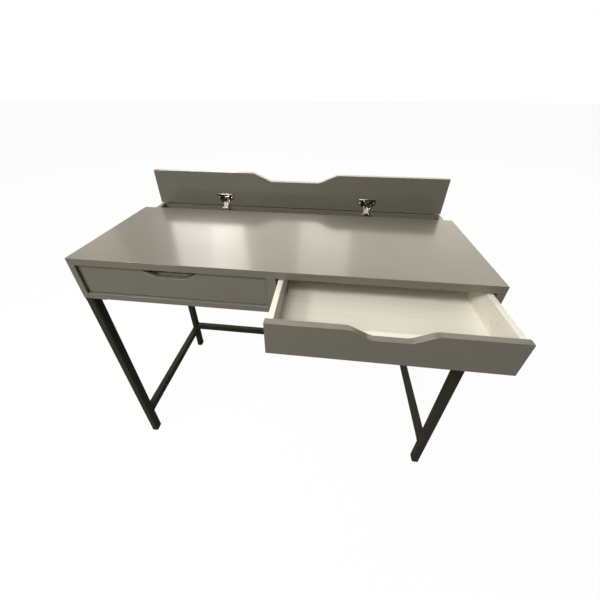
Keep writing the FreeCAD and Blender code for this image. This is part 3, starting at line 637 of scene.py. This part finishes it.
def white_to_camera(tree, kind, shader, target, amount, radiance):
    """Joins shader to target, with that amount of plain white laid over it for the camera only."""
    plain = tree.nodes.new(kind)
    plain.inputs["Color"].default_value = (1, 1, 1, 1)
    plain.inputs["Strength"].default_value = radiance
    path = tree.nodes.new("ShaderNodeLightPath")
    share = tree.nodes.new("ShaderNodeMath")
    share.operation = "MULTIPLY"
    share.inputs[1].default_value = amount
    tree.links.new(path.outputs["Is Camera Ray"], share.inputs[0])
    mix = tree.nodes.new("ShaderNodeMixShader")
    tree.links.new(share.outputs["Value"], mix.inputs[0])
    tree.links.new(shader, mix.inputs[1])
    tree.links.new(plain.outputs[0], mix.inputs[2])
    tree.links.new(mix.outputs[0], target)


def floor():
    """A wide floor that the camera sees nearly white, with faint shadows."""
    whiteness, radiance = 0.88, 1.09
    bpy.ops.mesh.primitive_plane_add(size=60)
    plane = bpy.context.object
    plane.name = "studio_floor"
    s = Surface("pale_floor", (0.30, 0.298, 0.292), 0.9, specular=0.1)
    s.tint(s.noise(0.8, 2), (0.31, 0.308, 0.302), 0.5)
    surface = s.tree.nodes["Material Output"].inputs["Surface"]
    white_to_camera(s.tree, "ShaderNodeEmission", s.shader.outputs["BSDF"], surface,
                    whiteness, radiance)
    plane.data.materials.append(s.material)


def world_light():
    """Faint even light from all around, seen by the camera as plain white."""
    world = bpy.data.worlds.new("studio")
    world.use_nodes = True
    tree = world.node_tree
    fill = tree.nodes["Background"]
    fill.inputs["Color"].default_value = (1.0, 0.985, 0.95, 1)
    fill.inputs["Strength"].default_value = 0.05
    surface = tree.nodes["World Output"].inputs["Surface"]
    white_to_camera(tree, "ShaderNodeBackground", fill.outputs[0], surface, 1.0, 1.0)
    bpy.context.scene.world = world


DAYLIGHT = (1.0, 0.975, 0.93)
LAMPLIGHT = (1.0, 0.97, 0.92)
WALL_GLOW = (1.0, 0.92, 0.79)
DESKTOP_MIDDLE = (0, 0, 0.76)
DRAWER_FRONTS = (0, -0.17, 0.75)


def aim(obj, place, target):
    obj.location = place
    obj.rotation_euler = (Vector(target) - Vector(place)).to_track_quat("-Z", "Y").to_euler()


def sun(name, strength, spread, place):
    """Light from the direction of place, as even over the floor as over the desk."""
    data = bpy.data.lights.new(name, "SUN")
    data.energy = strength
    data.angle = math.radians(spread)
    data.color = DAYLIGHT
    obj = bpy.data.objects.new(name, data)
    bpy.context.scene.collection.objects.link(obj)
    aim(obj, place, (0, 0, 0))


def softbox(name, radiance, width, height, place, target, color=LAMPLIGHT):
    """A rectangular light whose face has that brightness."""
    data = bpy.data.lights.new(name, "AREA")
    data.shape = "RECTANGLE"
    data.size = width
    data.size_y = height
    data.energy = radiance * math.pi * width * height
    data.color = color
    obj = bpy.data.objects.new(name, data)
    bpy.context.scene.collection.objects.link(obj)
    aim(obj, place, target)


def camera():
    """A wide lens close in front of the desk and above it, a little right of its middle."""
    place = (0.1154, -0.7046, 1.0975)
    heading, pitch, tilt = 0.1175, -0.6089, -0.0024
    data = bpy.data.cameras.new("camera")
    data.sensor_width = 36
    data.lens = 17.3
    data.shift_x = 0.0105
    data.shift_y = -0.0208
    data.clip_end = 100
    obj = bpy.data.objects.new("camera", data)
    bpy.context.scene.collection.objects.link(obj)
    turn = Matrix.Rotation(heading, 4, "Z") @ Matrix.Rotation(pitch, 4, "X")
    roll = Matrix.Rotation(tilt, 4, "Y") @ Matrix.Rotation(math.pi / 2, 4, "X")
    obj.matrix_world = Matrix.Translation(place) @ turn @ roll
    bpy.context.scene.camera = obj


def studio():
    """Floor, world, lights in front for the fronts, lights behind for the desktop's sheen, camera."""
    floor()
    world_light()
    sun("ceiling_light", 0.3, 60, (-0.7, 1.0, 3))
    softbox("overhead", 0.9, 2.5, 2.5, (-0.6, -0.9, 3.2), (-0.1, 0, 0.76))
    softbox("key_high", 24, 1.2, 0.5, (-0.5, -2.1, 3.05), DRAWER_FRONTS)
    softbox("key_left", 33, 1.0, 0.5, (-2.2, -1.9, 2.85), DRAWER_FRONTS)
    softbox("front_soft", 5.0, 2.0, 1.0, (-0.9, -3.0, 2.6), DRAWER_FRONTS)
    softbox("back_wall", 1.65, 6.6, 4, (1.1, 4.6, 3.0), (1.1, 0, 0.9), WALL_GLOW)
    softbox("back_wall_left", 0.56, 3, 4, (-3.7, 4.6, 3.0), (-1.7, 0, 0.9), WALL_GLOW)
    softbox("left_wall", 0.55, 4, 4, (-6.0, 3.6, 3.5), (-0.5, 0, 0.9), WALL_GLOW)
    softbox("back_light_left", 3.2, 1.2, 2.0, (-1.9, 3.8, 2.7), (-0.2, 0, 0.76))
    softbox("back_light_middle", 1.5, 0.9, 1.6, (0.1, 3.9, 2.9), DESKTOP_MIDDLE)
    camera()
    bpy.context.scene.view_settings.view_transform = "Standard"


studio()
